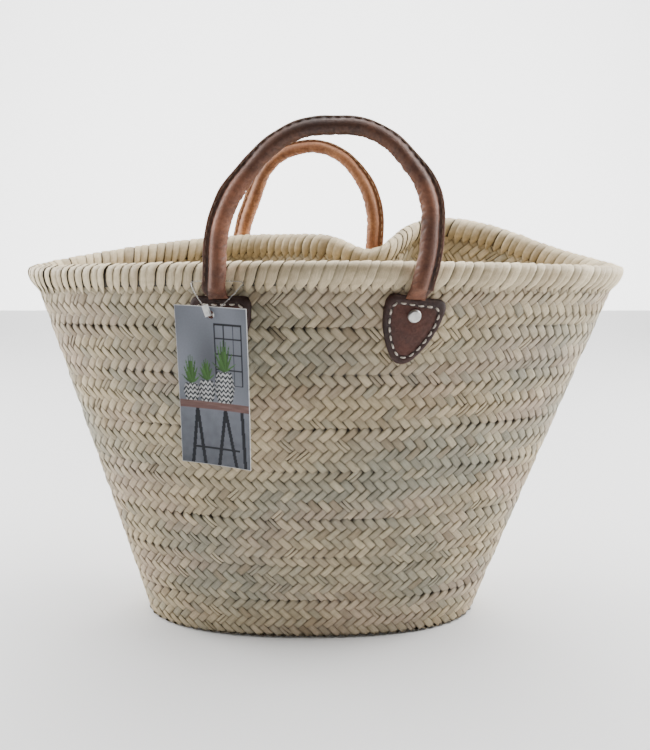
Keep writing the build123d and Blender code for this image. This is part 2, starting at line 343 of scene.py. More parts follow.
def leather_material(name, dark, light, roughness):
    material, nodes, links, shader = new_material(name)
    tint = add(nodes, "ShaderNodeAttribute", attribute_name="tint")
    place = add(nodes, "ShaderNodeTexCoord").outputs["Object"]
    cloud = grain_field(nodes, links, place, Scale=38.0, Detail=5.0, Roughness=0.6)
    creases = grain_field(nodes, links, place, Scale=420.0, Detail=6.0, Roughness=0.7)
    pores = add(nodes, "ShaderNodeTexVoronoi", Scale=1500.0)
    links.new(place, pores.inputs["Vector"])
    colour = ramp(nodes, links, cloud, [(0.35, dark), (0.68, light)])
    mottling = ramp(nodes, links, creases, [(0.32, 0.72), (0.6, 1.08)])
    colour = multiply(nodes, links, colour, mottling)
    colour = multiply(nodes, links, colour, tint.outputs["Color"])
    links.new(colour, shader.inputs["Base Color"])
    shine_stops = [(0.3, roughness + 0.15), (0.7, roughness - 0.08)]
    shine = ramp(nodes, links, creases, shine_stops)
    links.new(shine, shader.inputs["Roughness"])
    shader.inputs["Coat Weight"].default_value = 0.02
    shader.inputs["Coat Roughness"].default_value = 0.4
    first = bump(nodes, links, shader, pores.outputs["Distance"], 0.25, 0.0003)
    second = add(nodes, "ShaderNodeBump", Strength=0.45, Distance=0.0006)
    links.new(creases, second.inputs["Height"])
    links.new(first.outputs["Normal"], second.inputs["Normal"])
    links.new(second.outputs["Normal"], shader.inputs["Normal"])
    return material


def thread_material(name, colour):
    material, nodes, links, shader = new_material(name)
    tint = add(nodes, "ShaderNodeAttribute", attribute_name="tint")
    place = add(nodes, "ShaderNodeTexCoord").outputs["Object"]
    twist = grain_field(nodes, links, place, Scale=1400.0, Detail=3.0)
    shadow = tuple(c * 0.6 for c in colour)
    shade = ramp(nodes, links, twist, [(0.3, shadow), (0.6, colour)])
    links.new(multiply(nodes, links, shade, tint.outputs["Color"]), shader.inputs["Base Color"])
    shader.inputs["Roughness"].default_value = 0.7
    bump(nodes, links, shader, twist, 0.6, 0.0003)
    return material


def plain_cad_material(name, colour, roughness, metallic=0.0, scale=300.0, depth=0.0003):
    material, nodes, links, shader = new_material(name)
    place = add(nodes, "ShaderNodeTexCoord").outputs["Object"]
    grain = grain_field(nodes, links, place, Scale=scale, Detail=4.0)
    shadow = tuple(c * 0.75 for c in colour)
    shade = ramp(nodes, links, grain, [(0.35, shadow), (0.65, colour)])
    links.new(shade, shader.inputs["Base Color"])
    shine = ramp(nodes, links, grain, [(0.3, roughness + 0.1), (0.7, roughness)])
    links.new(shine, shader.inputs["Roughness"])
    shader.inputs["Metallic"].default_value = metallic
    bump(nodes, links, shader, grain, 0.5, depth)
    return material


leaf = leaf_material("leaf_braid", 0.56)
rim_leaf = leaf_material("leaf_rim", 0.5)
# The front handle uses the same leather as the rear one, painted much darker as painted shade and a
# painted dark reflection.
shaded_front_leather = leather_material("leather_front_painted_shade", (0.050, 0.017, 0.008), (0.135, 0.050, 0.024), 0.58)
tan_leather = leather_material("leather_tan", (0.27, 0.10, 0.038), (0.46, 0.20, 0.085), 0.6)
patch_leather = leather_material("leather_patch", (0.022, 0.005, 0.002), (0.050, 0.012, 0.005), 0.6)
white_thread = thread_material("thread_white", (0.62, 0.55, 0.47))
dark_thread = thread_material("thread_dark", (0.12, 0.06, 0.03))
tan_thread = thread_material("thread_tan", (0.55, 0.33, 0.18))
rivet_metal = plain_cad_material("rivet_metal", (0.62, 0.61, 0.59), 0.3, 1.0, 260.0, 0.0006)
cord_fibre = plain_cad_material("cord_fibre", (0.22, 0.17, 0.11), 0.8)
rope_fibre = plain_cad_material("rope_fibre", (0.45, 0.36, 0.24), 0.85)
lock_plastic = plain_cad_material("lock_plastic", (0.78, 0.78, 0.76), 0.35)
flap_leather = plain_cad_material("flap_leather", (0.20, 0.09, 0.05), 0.55)

# ---------------------------------------------------------------- leaf colours
CREAM = (0.80, 0.66, 0.43)
STRAW = (0.58, 0.46, 0.28)
SAGE = (0.40, 0.37, 0.27)
BLUSH = (0.56, 0.42, 0.30)
BARK = (0.30, 0.21, 0.11)
# Near-black painted shade, for the cores seen through the gaps between the strips.
GAP_SHADE = (0.055, 0.042, 0.028)


def mix(a, b, share):
    return tuple(x + (y - x) * share for x, y in zip(a, b))


def scaled(colour, factor):
    return tuple(c * factor for c in colour)


def leaf_tint(angle, height_share, inside):
    place = Vector((math.cos(angle) * 1.6, math.sin(angle) * 1.6, height_share * 7.0))
    band = noise.noise(place + Vector((3.1, 0, 0)))
    colour = mix(STRAW, SAGE, min(1, max(0, 0.45 + 1.6 * band)))
    colour = mix(colour, BLUSH, min(0.7, max(0, noise.noise(place * 1.7) * 1.8)))
    # Painted light: the inside floats are painted pale cream, as lit from above; outside, the
    # colour grows paler towards the top.
    colour = mix(colour, CREAM, 0.9 if inside else max(0.0, (height_share - 0.82) * 2.2))
    pick = random.random()
    if pick < 0.04:
        colour = mix(colour, BARK, 0.5)
    elif pick < 0.3:
        colour = mix(colour, CREAM, random.uniform(0.15, 0.5))
    elif pick < 0.45:
        colour = mix(colour, SAGE, random.uniform(0.2, 0.6))
    return scaled(colour, random.uniform(0.72, 0.98))


# ------------------------------------------------------------------ the weave
# Each pair is a place along or across the float and its height there.
ALONG = [
    (-1.32, -1.25),
    (-1.06, -0.3),
    (-0.8, 0.25),
    (-0.3, 0.62),
    (0.3, 0.62),
    (0.8, 0.25),
    (1.06, -0.3),
    (1.32, -1.25),
]
ACROSS = [
    (-1.0, -1.35),
    (-0.93, -0.22),
    (-0.5, 0.0),
    (0.0, -0.1),
    (0.5, 0.0),
    (0.93, -0.22),
    (1.0, -1.35),
]


def add_float(
    builder, axes, pitch, row_height, direction, tint, lift=0.0, squeeze=1.0, shift=0.0
):
    # One visible stretch of a leaf strand: a crowned slanted block two strands long.
    point, around, up, out = axes
    tilt = random.uniform(-0.25, 0.25)
    crown = FLOAT_CROWN * random.uniform(0.75, 1.25)
    skew = random.uniform(-0.05, 0.05)
    offset = random.uniform(0, 500)
    rows = []
    tints = []
    coords = []
    for s, rise in ALONG:
        row = []
        tint_row = []
        coord_row = []
        for t, dip in ACROSS:
            side = shift + t * squeeze * (END_WIDTH if abs(s) > 1.2 else 1.0)
            dx = direction * (0.5 * s - 0.25 * side) + skew * s
            dy = 0.5 * s + 0.25 * side
            depth = lift + rise * crown + dip * 0.8 + tilt * t * 0.9
            if abs(t) == 1.0:
                depth = lift - BACKING_INSET - 0.3
            spot = point + around * (dx * pitch) + up * (dy * row_height) + out * depth
            spot.z = max(spot.z, LOWEST)
            row.append(spot)
            # Painted shade: the float is painted darker along its sides and much darker at its
            # ends, where it tucks under its neighbours.
            shade = 1.0 if abs(t) < 0.9 else (0.72 if abs(t) < 0.97 else 0.12)
            if abs(s) > 1.2:
                shade *= 0.2
            elif abs(s) > 1.0:
                shade *= 0.62
            tint_row.append(scaled(tint, shade))
            coord_row.append((s * STRAND_WIDTH + offset, t * STRAND_WIDTH / 2 + offset * 0.37))
        rows.append(row)
        tints.append(tint_row)
        coords.append(coord_row)
    builder.grid(rows, tints, coords)


HALF_LEAF = 0.46
SPLIT_SHARE = 0.07


def add_strand(builder, axes, pitch, row_height, direction, tint, lift):
    # Now and then a strand is split into two narrow leaves.
    if random.random() < SPLIT_SHARE:
        for half in (-0.5, 0.5):
            shade = scaled(tint, random.uniform(0.85, 1.1))
            add_float(builder, axes, pitch, row_height, direction, shade, lift, HALF_LEAF, half)
    else:
        width = random.uniform(0.96, 1.07)
        add_float(builder, axes, pitch, row_height, direction, tint, lift, width)


FIRST_LEVEL = 0.008
ROW_LEVEL = (1 - FIRST_LEVEL) / ROWS


# A closed ring inside the wall, painted near-black as painted shade in the gaps between the floats.
def shade_core(builder, low, high, outer, inner, segments=180):
    corners = ((low, outer), (high, outer), (high, inner), (low, inner), (low, outer))
    turns = [2 * math.pi * i / segments for i in range(segments)]
    rows = [[wall_point(turn, level, 0, out) for turn in turns] for level, out in corners]
    builder.band(rows, GAP_SHADE)


def course(number):
    builder = Builder()
    low = number / COURSES
    high = (number + 1) / COURSES
    top = 0.965 if number == COURSES - 1 else high
    shade_core(builder, max(low, FIRST_LEVEL), top, -BACKING_INSET, BACKING_INSET - WALL)
    first = math.ceil((low - FIRST_LEVEL) / ROW_LEVEL - 0.5) if number else 0
    last = math.ceil((high - FIRST_LEVEL) / ROW_LEVEL - 0.5)
    middle = (low + high) / 2
    _, girth = even_angles(1, lambda a: wall_point(a, middle))
    count = round(girth / STRAND_PITCH)
    for row in range(first, min(last, ROWS)):
        level = FIRST_LEVEL + (row + 0.5) * ROW_LEVEL
        angles, length = even_angles(count * 4, lambda a: wall_point(a, level))
        pitch = length / count
        direction = 1 if row % 2 else -1
        near_seam = min(level - low, high - level) / ROW_LEVEL < 0.6
        lift = -SEAM_DIP if near_seam and number else 0.0
        for column in range(count):
            angle = angles[(column * 4 + 1 + 2 * (row % 2)) % (count * 4)]
            axes = wall_axes(angle, level)
            point, around, up, out = axes
            row_height = (wall_point(angle, level + ROW_LEVEL) - point).length
            tint = leaf_tint(angle, level, False)
            add_strand(builder, axes, pitch, row_height, direction, tint, lift)
            inner = (point - out * WALL, around * -1, up, out * -1)
            tint = leaf_tint(angle, level, True)
            add_strand(builder, inner, pitch, row_height, direction, tint, lift)
    piece = builder.make(f"braid_round_{number + 1}", leaf)
    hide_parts(f"braid_course_{number + 1}")
    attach(piece, "basket")
    return piece


for number in range(COURSES):
    course(number)


FLOOR_ROW_HEIGHT = 8.6


def floor_piece(name, node, insets, outer_inset, inner_inset):
    builder = Builder()
    segments = 96
    rows = []
    low = BACKING_INSET + 0.2
    high = FLOOR_THICKNESS - BACKING_INSET
    outer = [(outer_inset, low), (outer_inset, high)]
    ring = outer + [(inner_inset, high), (inner_inset, low), outer[0]]
    for inset, z in ring:
        row = []
        for i in range(segments):
            x, y = floor_plan(2 * math.pi * i / segments, inset)
            row.append(Vector((x, y, z)))
        rows.append(row)
    # The floor's core ring is painted near-black as painted shade in the gaps.
    builder.band(rows, GAP_SHADE)
    for index, inset in enumerate(insets):
        for top in (True, False):
            angles, length = even_angles(1, lambda a: floor_axes(a, inset, top)[0])
            count = max(4, round(length / STRAND_PITCH))
            angles, length = even_angles(count * 4, lambda a: floor_axes(a, inset, top)[0])
            for column in range(count):
                angle = angles[(column * 4 + 1 + 2 * (index % 2)) % (count * 4)]
                point, around, inward, out = floor_axes(angle, inset, top)
                point = point - out * 0.9
                tint = leaf_tint(angle, 0.0, top)
                direction = 1 if index % 2 else -1
                if top:
                    axes = (point, around, inward, out)
                else:
                    axes = (point, around * -1, inward, out)
                add_float(builder, axes, length / count, FLOOR_ROW_HEIGHT, direction, tint)
    piece = builder.make(name, leaf)
    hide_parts(node)
    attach(piece, "basket")


# Distance of each row of floats from the floor's edge.
FLOOR_OUTER_ROWS = [5.0, 13.6, 22.2, 30.8]
FLOOR_CENTRE_ROWS = [39.6, 48.2, 55.5]
FLOOR_EDGE_INSET = 2.0
FLOOR_MIDDLE_INSET = 57.5
floor_piece(
    "floor_outer_weave",
    "floor_outer_braid",
    FLOOR_OUTER_ROWS,
    FLOOR_EDGE_INSET,
    FLOOR_CENTRE_INSET - 1,
)
floor_piece(
    "floor_centre_weave",
    "floor_centre_braid",
    FLOOR_CENTRE_ROWS,
    FLOOR_CENTRE_INSET,
    FLOOR_MIDDLE_INSET,
)

# -------------------------------------------------------------------- the rim
# Outline of the wrapped edge, from the tip outside, over the top, to the inside.
RIM_PROFILE = [
    (RIM_BAND_HEIGHT + 1.8, -0.8),
    (RIM_BAND_HEIGHT - 1.0, 1.2),
    (11.5, 2.9),
    (8, 3.9),
    (3.5, 4.1),
    (0, 3.3),
    (-2.4, 1.4),
    (-3.2, -2.5),
    (-2.4, -6.4),
    (0, -8.9),
    (3.5, -9.9),
    (8, -9.7),
    (11.5, -8.4),
    (RIM_BAND_HEIGHT - 1.0, -6.2),
    (RIM_BAND_HEIGHT + 1.8, -4.2),
]
RIM_SLANT = 0.154
RIM_ACROSS = [
    (-1.0, -1.6),
    (-0.93, -0.5),
    (-0.72, 0.15),
    (-0.2, 0.55),
    (0.35, 0.7),
    (0.8, 0.65),
    (1.0, 0.35),
]


def rim_point(position, count, angles, drop, out):
    samples = len(angles)
    place = (position / count) % 1.0 * samples
    i = int(place) % samples
    share = place - int(place)
    start = angles[i]
    end = angles[(i + 1) % samples] + (2 * math.pi if i + 1 == samples else 0)
    return wall_point(start + (end - start) * share, 1, drop, out)


def rim_wrap():
    builder = Builder()
    _, girth = even_angles(1, lambda a: wall_point(a, 1))
    count = round(girth / RIM_STRIP_PITCH)
    angles, _ = even_angles(720, lambda a: wall_point(a, 1))
    segments = 240
    hem = RIM_BAND_HEIGHT - 2
    # The core under the rim strips is painted near-black as painted shade between the strips.
    core = [(hem, 0.6), (10, 3.2), (3, 3.4), (-1.6, 0.6)]
    core += [(-1.8, -5.6), (3, -8.4), (10, -8.2), (hem, -5.6), (hem, 0.6)]
    turns = [2 * math.pi * i / segments for i in range(segments)]
    rows = [[wall_point(turn, 1, drop, out) for turn in turns] for drop, out in core]
    builder.band(rows, GAP_SHADE)
    last = len(RIM_PROFILE) - 1
    for strip in range(count):
        tint = mix(CREAM, STRAW, random.uniform(0, 0.7))
        if random.random() < 0.12:
            tint = mix(tint, BARK, random.uniform(0.2, 0.5))
        tint = scaled(tint, random.uniform(0.85, 1.1))
        width = random.uniform(0.50, 0.66)
        wander = random.uniform(-0.12, 0.12)
        swell = random.uniform(-0.2, 0.35)
        offset = random.uniform(0, 300)
        long_tip = random.uniform(0.0, 3.5)
        rows = []
        tints = []
        coords = []
        for k, (drop, out) in enumerate(RIM_PROFILE):
            end = min(k, last - k)
            taper = (0.12, 0.62, 0.92)[end] if end < 3 else 1.0
            reach = long_tip if end == 0 else 0.0
            row = []
            tint_row = []
            coord_row = []
            for t, rise in RIM_ACROSS:
                # later strips lap over earlier ones
                slant = RIM_SLANT * (k - last / 2)
                position = strip + wander + slant + t * width * taper
                lap = rise + swell + t * 0.25
                middle = out + 2.5
                radial = math.copysign(1, middle) if abs(middle) > 2 else middle / 2
                top_share = 1 - min(1, abs(radial))
                fall = drop + reach - lap * top_share
                p = rim_point(position, count, angles, fall, out + lap * radial)
                row.append(p)
                # Painted shade: each strip is painted dark along the edge that tucks under its
                # neighbour, and darker at its tips.
                shade = 0.06 if t == -1.0 else (0.22 if t < -0.9 else (0.8 if t < -0.5 else 1.0))
                if end == 0:
                    shade *= 0.6
                tint_row.append(scaled(tint, shade))
                coord_row.append((k * 5.0 + offset, t * 4.5 + offset * 0.4))
            rows.append(row)
            tints.append(tint_row)
            coords.append(coord_row)
        builder.grid(rows, tints, coords)
    piece = builder.make("rim_wrapping", rim_leaf)
    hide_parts("rim_wrap")
    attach(piece, "basket")


rim_wrap()

# ---------------------------------------------------------------- the handles
LEG_RADIUS = 6
PIVOT_HEIGHT = 306
FRONT_ARCH = [(-65, 57), (-20, 111), (42, 111), (76, 70), (76, 32)]
FRONT_ARCH_RADII = [80, 57, 50, 48, 100]
REAR_ARCH = [(-56.5, 40.4), (-30.5, 102.4), (30.5, 111.8), (69.9, 62.9)]
REAR_ARCH_RADII = [125, 49, 51.5, 78]
FRONT_FEET = (Vector((-61.5, -112, PIVOT_HEIGHT)), Vector((76.5, -112, PIVOT_HEIGHT)))
REAR_FEET_X = (-72, 55)
REAR_PIVOT_GAP = 15.5


def evenly(points, steps, closed=False):
    # Points at equal steps of length along a line, or round a closed one.
    line = points + points[:1] if closed else points
    run = [0.0]
    for a, b in zip(line, line[1:]):
        run.append(run[-1] + (b - a).length)
    result = []
    j = 0
    for i in range(steps if closed else steps + 1):
        target = min(run[-1] * i / steps, run[-1] - 1e-6)
        while run[j + 1] <= target:
            j += 1
        share = (target - run[j]) / max(1e-9, run[j + 1] - run[j])
        result.append(line[j].lerp(line[j + 1], share))
    return result


def rounded_path(points, radii, step):
    # Straight runs joined by tangent arcs, as evenly spaced points.
    pieces = [Vector(points[0])]
    for before, corner, after, radius in zip(points, points[1:], points[2:], radii):
        a = (Vector(before) - Vector(corner)).normalized()
        b = (Vector(after) - Vector(corner)).normalized()
        half = a.angle(b) / 2
        cut = radius / math.tan(half)
        centre = Vector(corner) + (a + b).normalized() * (radius / math.sin(half))
        start = Vector(corner) + a * cut - centre
        turn = (math.pi - 2 * half) * (1 if a.x * b.y - a.y * b.x < 0 else -1)
        steps = max(2, int(abs(turn) * radius / step))
        for i in range(steps + 1):
            angle = turn * i / steps
            x = start.x * math.cos(angle) - start.y * math.sin(angle)
            y = start.x * math.sin(angle) + start.y * math.cos(angle)
            pieces.append(centre + Vector((x, y)))
    pieces.append(Vector(points[-1]))
    length = sum((b - a).length for a, b in zip(pieces, pieces[1:]))
    return evenly(pieces, int(length / step))


def rear_feet():
    feet = []
    for x in REAR_FEET_X:
        angle = wall_angle(x, False, PIVOT_HEIGHT)
        point, _, _, out = wall_axes(angle, PIVOT_HEIGHT / rim_height(angle))
        out.z = 0
        feet.append(point + out.normalized() * REAR_PIVOT_GAP)
    return feet


def on_wall(x, z, front, out):
    angle = wall_angle(x, front, z)
    point, _, _, outward = wall_axes(angle, z / rim_height(angle))
    return point + outward * out, outward


def smooth_step(value):
    value = min(1.0, max(0.0, value))
    return value * value * (3 - 2 * value)


# Half of the leather section: the roll, then the two flat edges sewn together.
FLANGE = [
    (6.25, 1.45),
    (6.8, 1.2),
    (8.4, 1.15),
    (9.8, 1.15),
    (10.2, 0.85),
    (10.2, 0.3),
    (9.7, 0.05),
]
ROLL_SEGMENTS = 40
FLANGE_ANGLE = 19
LEG_HIDDEN_Z = 299.5
LEG_ROUND_Z = 311.5
LEG_FLARE_Z = 303.0
CREST_START = 62
CREST_RANGE = 45
# Over the crest the sewn edge narrows, sinks and leans back.
FLANGE_NARROWS = 0.55
FLANGE_SINKS = 0.8
FLANGE_LEAN = 0.28
SEAM_REACH = 2.3
# Painted light on the front handle: its legs are painted brighter, as if lit from the sides, and
# its crest darker.
LEG_PAINTED_LIGHT = 1.9
CREST_PAINTED_LIGHT = 0.95


def section_ring():
    ring = [(u, v) for u, v in reversed(FLANGE)]
    for k in range(ROLL_SEGMENTS + 1):
        angle = math.radians(FLANGE_ANGLE + (360 - 2 * FLANGE_ANGLE) * k / ROLL_SEGMENTS)
        ring.append((LEG_RADIUS * math.cos(angle), LEG_RADIUS * math.sin(angle)))
    return ring + [(u, -v) for u, v in FLANGE]


def handle_entries(feet, flat, middle, across, normal, front):
    # Section frames from one hidden end, over the arch, to the other.
    upright = Vector((0, 0, 1))
    spine = [middle + across * p.x + upright * p.y for p in flat]
    total = len(spine)
    arch = []
    for i in range(total):
        before = flat[max(0, i - 1)]
        after = flat[min(total - 1, i + 1)]
        tangent = (after - before).normalized()
        side = across * -tangent.y + upright * tangent.x
        crest = smooth_step((flat[i].y - CREST_START) / CREST_RANGE)
        if spine[i].z > LEG_ROUND_Z:
            arch.append((spine[i], side, normal, 1.0, i * 1.0, crest))
    ends = []
    for foot, points, side in ((feet[0], spine, -across), (feet[1], spine[::-1], across)):
        legs = []
        steps = 12
        for k in range(steps):
            z = LEG_HIDDEN_Z + (LEG_ROUND_Z - LEG_HIDDEN_Z) * k / steps
            near = min(points[:20], key=lambda p: abs(p.z - z))
            free = Vector((near.x, near.y, z))
            pinned, out = on_wall(foot.x, z, front, 2.1)
            share = min(1.0, max(0.0, (z - LEG_FLARE_Z) / (LEG_ROUND_Z - LEG_FLARE_Z))) ** 0.55
            face = (out if front else -out).lerp(normal, share).normalized()
            legs.append((pinned.lerp(free, share), side, face, share, z - LEG_ROUND_Z, 0.0))
        ends.append(legs)
    return ends[0] + arch + ends[1][::-1], spine


def crease(run, v, seed):
    # Depth of the fine folds in the leather on the inside of the bend.
    slanted = noise.noise(Vector((run * 0.13 + v * 0.10, v * 0.05, seed)))
    short = noise.noise(Vector((run * 0.33 - v * 0.12, v * 0.11, seed + 5)))
    return math.exp(-((slanted / 0.09) ** 2)) + 0.6 * math.exp(-((short / 0.08) ** 2))


def section_point(u, v, run, roundness, crest, seed, front):
    # Where a point of the leather section goes, and how bright it is painted there.
    inner = max(0.0, min(1.0, 0.25 - u / LEG_RADIUS))
    fold_in = crease(run, v, seed)
    swell = noise.noise(Vector((run * 0.06, u * 0.1, v * 0.1 + seed)))
    # Painted shade in the folds on the inside of the bend; the swell noise also lightens and
    # darkens it a little.
    glow = 1.0 - 0.35 * inner * min(1.0, fold_in) + 0.25 * swell
    # Painted light: the front handle's legs are painted brighter than its crest.
    glow *= LEG_PAINTED_LIGHT + (CREST_PAINTED_LIGHT - LEG_PAINTED_LIGHT) * crest if front else 1.0
    if u > LEG_RADIUS + 0.1:
        past = u - LEG_RADIUS
        side = LEG_RADIUS + past * (1 - FLANGE_NARROWS * crest)
        side += 0.35 * noise.noise(Vector((run * 0.08, 3.0, seed))) * past / 4
        side = (side - FLANGE_SINKS * crest) * (0.45 + 0.55 * roundness)
        lean = past * FLANGE_LEAN * crest * (-1 if front else 1)
        # The sewn edge is painted darker than the roll, with painted shade where it meets the roll
        # and in the slit between its two layers, and a painted highlight along its outer edge on
        # the front handle.
        glow = 0.62 if u < 7 else 0.85
        if u > 9.0 and front:
            glow = 1.35
        if abs(v) < 0.2 and u > 9:
            glow = 0.3
        return side, v * (0.5 + 0.5 * roundness) + lean, glow
    radial = 1 - 0.13 * crest - 0.11 * inner * fold_in + 0.05 * swell
    return u * radial * (1.3 - 0.3 * roundness), v * radial * (0.2 + 0.8 * roundness), glow


def handle(end, feet, arch, radii, material):
    body = f"{end}_handle"
    front = end == "front"
    across = (feet[1] - feet[0]).normalized()
    reach = (feet[1] - feet[0]).length / 2
    middle = (feet[0] + feet[1]) / 2
    normal = across.cross(Vector((0, 0, 1)))
    flat = rounded_path([(-reach, 0), *arch, (reach, 0)], radii, 1.0)
    entries, spine = handle_entries(feet, flat, middle, across, normal, front)
    seed = 4.0 if front else 19.0
    builder = Builder()
    rows = []
    tints = []
    coords = []
    for p, side, face, roundness, run, crest in entries:
        row = []
        tint_row = []
        coord_row = []
        for u, v in section_ring():
            u2, v2, glow = section_point(u, v, run, roundness, crest, seed, front)
            row.append(p + side * u2 + face * v2)
            tint_row.append(scaled((1, 1, 1), glow))
            coord_row.append((run, v))
        rows.append(row)
        tints.append(tint_row)
        coords.append(coord_row)
    builder.grid(rows, tints, coords, closed=True)
    piece = builder.make(f"{body}_roll", material)
    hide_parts(f"{body}_leather")
    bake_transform(piece)
    sides = []
    for i in range(len(spine)):
        tangent = (flat[min(len(flat) - 1, i + 1)] - flat[max(0, i - 1)]).normalized()
        sides.append(across * -tangent.y + Vector((0, 0, 1)) * tangent.x)
    return spine, sides, normal, flat


ROPE_START_Z = 311
ROPE_TWIST = 0.35
PLY_SIDES = 10
PLY_OFFSET = 1.5
PLY_RADIUS = 2.1


def rope_core(end, line):
    # Two plies of rope twisted inside the leather roll.
    body = f"{end}_handle"
    spine, sides, normal, flat = line
    builder = Builder()
    for ply in (0, 1):
        rows = []
        for i in range(0, len(spine), 2):
            if spine[i].z < ROPE_START_Z:
                continue
            crest = smooth_step((flat[i].y - CREST_START) / CREST_RANGE)
            turn = i * ROPE_TWIST + ply * math.pi
            middle = spine[i] + (sides[i] * math.cos(turn) + normal * math.sin(turn)) * PLY_OFFSET
            radius = PLY_RADIUS - 0.3 * crest
            row = []
            for k in range(PLY_SIDES):
                angle = 2 * math.pi * k / PLY_SIDES
                across = sides[i] * math.cos(angle) + normal * math.sin(angle)
                row.append(middle + across * radius)
            rows.append(row)
        first = builder.band(rows, (1, 1, 1))
        last = len(builder.points)
        builder.faces.append(tuple(range(first + PLY_SIDES - 1, first - 1, -1)))
        builder.faces.append(tuple(range(last - PLY_SIDES, last)))
    piece = builder.make(f"{body}_rope", rope_fibre)
    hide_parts(f"{body}_rope_core")
    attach(piece, body)


def stitch(builder, start, end, out, radius, sink=0.35):
    # A short thread that rises from the leather and dips back in.
    along = (end - start).normalized()
    side = along.cross(out).normalized()
    rows = []
    tints = []
    coords = []
    for share in (0.0, 0.12, 0.35, 0.65, 0.88, 1.0):
        arch = math.sin(math.pi * share)
        centre = start.lerp(end, share) + out * (arch * radius * 1.1 - sink)
        thick = radius * (0.55 + 0.45 * arch)
        row = []
        for k in range(8):
            angle = 2 * math.pi * k / 8
            row.append(centre + side * (thick * math.cos(angle)) + out * (thick * math.sin(angle)))
        rows.append(row)
        tints.append([(1, 1, 1)] * 8)
        coords.append([(share * 5, k) for k in range(8)])
    builder.grid(rows, tints, coords, closed=True)


def handle_stitches(end, line, material):
    body = f"{end}_handle"
    lean_side = -1 if end == "front" else 1
    spine, sides, normal, flat = line
    builder = Builder()
    for i in range(10, len(spine) - 12, 6):
        for face in (-1, 1):
            ends = []
            for j in (i, i + 4):
                crest = smooth_step((flat[j].y - CREST_START) / CREST_RANGE)
                reach = LEG_RADIUS + SEAM_REACH * (1 - FLANGE_NARROWS * crest)
                reach -= FLANGE_SINKS * crest
                lean = SEAM_REACH * FLANGE_LEAN * crest * lean_side
                ends.append(spine[j] + sides[j] * reach + normal * (face * 1.2 + lean))
            stitch(builder, ends[0], ends[1], normal * face, 0.42, 0.1)
    piece = builder.make(f"{body}_stitching", material)
    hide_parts(f"{body}_seam_thread")
    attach(piece, body)


front_line = handle("front", FRONT_FEET, FRONT_ARCH, FRONT_ARCH_RADII, shaded_front_leather)
rear_line = handle("rear", rear_feet(), REAR_ARCH, REAR_ARCH_RADII, tan_leather)
rope_core("front", front_line)
rope_core("rear", rear_line)
handle_stitches("front", front_line, dark_thread)
handle_stitches("rear", rear_line, tan_thread)

# ---------------------------------------------------------------- the patches
# Right half of the shield, from the middle of the top edge to the point.
PATCH_OUTLINE = [
    (0, 13),
    (10, 13.2),
    (19, 13),
    (22.3, 9),
    (22.6, 4),
    (21.5, -5),
    (19.3, -13),
    (16, -21),
    (11.6, -29),
    (6.5, -35.5),
    (0, -38),
]
PATCH_STITCHES = 19
STITCH_SHARE = 0.215
STITCH_HEIGHT = 4.15
# Name, place along the basket, whether it is in front, rivet height and tilt.
FEET = [
    ("front_left", -61, True, 291, 0),
    ("front_right", 76, True, 291, -8),
    ("rear_left", -72, False, 293, 0),
    ("rear_right", 55, False, 287, 0),
]


def patch_outline(samples):
    # The shield, closed and evenly spaced, from the middle of its top edge.
    right = PATCH_OUTLINE
    left = [(-x, y) for x, y in reversed(right[1:-1])]
    loop = [Vector(p) for p in right + left]
    smooth = []
    n = len(loop)
    for i in range(n):
        p0, p1, p2, p3 = loop[i - 1], loop[i], loop[(i + 1) % n], loop[(i + 2) % n]
        for k in range(8):
            t = k / 8
            square = (2 * p0 - 5 * p1 + 4 * p2 - p3) * t**2
            cube = (3 * p1 - p0 - 3 * p2 + p3) * t**3
            smooth.append(0.5 * (2 * p1 + (p2 - p0) * t + square + cube))
    return evenly(smooth, samples, closed=True)


PATCH_CENTRE = Vector((0, -11))
# Share of the way in from the edge, and height over the wall.
PATCH_SECTION = [
    (0.0, -0.4),
    (0.0, 2.6),
    (0.03, 3.8),
    (0.09, 4.6),
    (0.17, 4.5),
    (0.24, 3.75),
    (0.30, 3.9),
    (0.45, 4.2),
    (0.7, 4.35),
    (0.97, 4.4),
]


